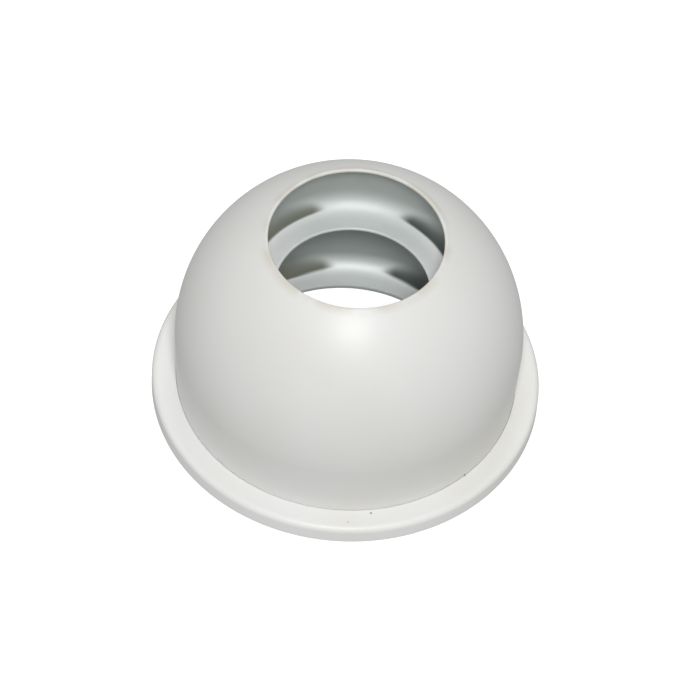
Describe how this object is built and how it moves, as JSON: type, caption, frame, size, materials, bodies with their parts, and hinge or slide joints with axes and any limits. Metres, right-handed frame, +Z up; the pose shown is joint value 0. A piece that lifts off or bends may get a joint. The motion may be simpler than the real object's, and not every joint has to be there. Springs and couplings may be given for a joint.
{
  "type": "dome cowl vent",
  "caption": "White dome cowl vent with a round flange, a crown opening over an inner wind cup, and an open duct ring in its foot.",
  "frame": {"origin": "middle of the underside, on the deck's surface", "axes": "+Z up along the vent's axis of turning, out of the crown opening; +X towards a plain stretch of the flange, midway between two threaded inserts"},
  "size_m": [0.162, 0.162, 0.0977],
  "materials": {
    "white_coat": "satin white powder coat",
    "satin_liner": "satin spun metal",
    "seal_rubber": "matte black",
    "insert_brass": "turned"
  },
  "bodies": {
    "root": {"cowl_shell": "white_coat", "mounting_flange": "white_coat", "wind_cup": "satin_liner", "duct_ring": "satin_liner", "deck_seal": "seal_rubber", "threaded_insert_1": "insert_brass", "threaded_insert_2": "insert_brass", "threaded_insert_3": "insert_brass", "threaded_insert_4": "insert_brass", "threaded_insert_5": "insert_brass", "threaded_insert_6": "insert_brass"}
  },
  "joints": []
}
